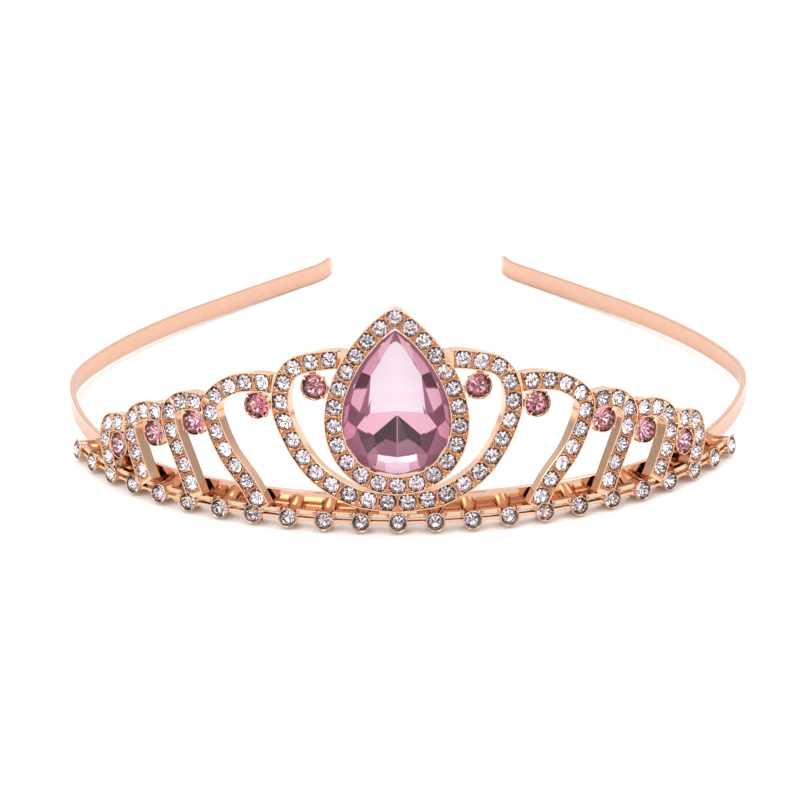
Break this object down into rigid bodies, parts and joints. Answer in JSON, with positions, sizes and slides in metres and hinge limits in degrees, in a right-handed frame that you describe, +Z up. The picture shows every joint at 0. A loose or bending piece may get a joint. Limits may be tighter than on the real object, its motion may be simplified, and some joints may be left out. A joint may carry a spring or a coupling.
{
  "type": "tiara",
  "caption": "Open headband tiara of rose-coloured metal with rows of clear stones in scrolling arches, round pink stones and a large pear-shaped pink stone.",
  "frame": {"origin": "centre of the bounding box's footprint, on the surface that the tiara rests on", "axes": "+Z up, -Y towards the front of the tiara, +X towards the wearer's left"},
  "size_m": [0.1194, 0.1234, 0.0374],
  "materials": {
    "rose_gold": "polished rose-coloured plating",
    "clear_glass": "clear cut glass with a foiled back",
    "pink_glass": "pink cut glass with a foiled back",
    "pale_pink_glass": "pale pink cut glass with a foiled back"
  },
  "bodies": {
    "root": {"tiara_frame": "rose_gold", "pear_stone": "pale_pink_glass", "side_stone_left_1": "pink_glass", "side_stone_left_2": "pink_glass", "side_stone_left_3": "pink_glass", "side_stone_left_4": "pink_glass", "side_stone_left_5": "pink_glass", "side_stone_right_1": "pink_glass", "side_stone_right_2": "pink_glass", "side_stone_right_3": "pink_glass", "side_stone_right_4": "pink_glass", "side_stone_right_5": "pink_glass", "rail_stone_00": "clear_glass", "rail_stone_01": "clear_glass", "rail_stone_02": "clear_glass", "rail_stone_03": "clear_glass", "rail_stone_04": "clear_glass", "rail_stone_05": "clear_glass", "rail_stone_06": "clear_glass", "rail_stone_07": "clear_glass", "rail_stone_08": "clear_glass", "rail_stone_09": "clear_glass", "rail_stone_10": "clear_glass", "rail_stone_11": "clear_glass", "rail_stone_12": "clear_glass", "rail_stone_13": "clear_glass", "rail_stone_14": "clear_glass", "rail_stone_15": "clear_glass", "rail_stone_16": "clear_glass", "rail_stone_17": "clear_glass", "rail_stone_18": "clear_glass", "rail_stone_19": "clear_glass", "rail_stone_20": "clear_glass", "rail_stone_21": "clear_glass", "rail_stone_22": "clear_glass"}
  },
  "joints": []
}
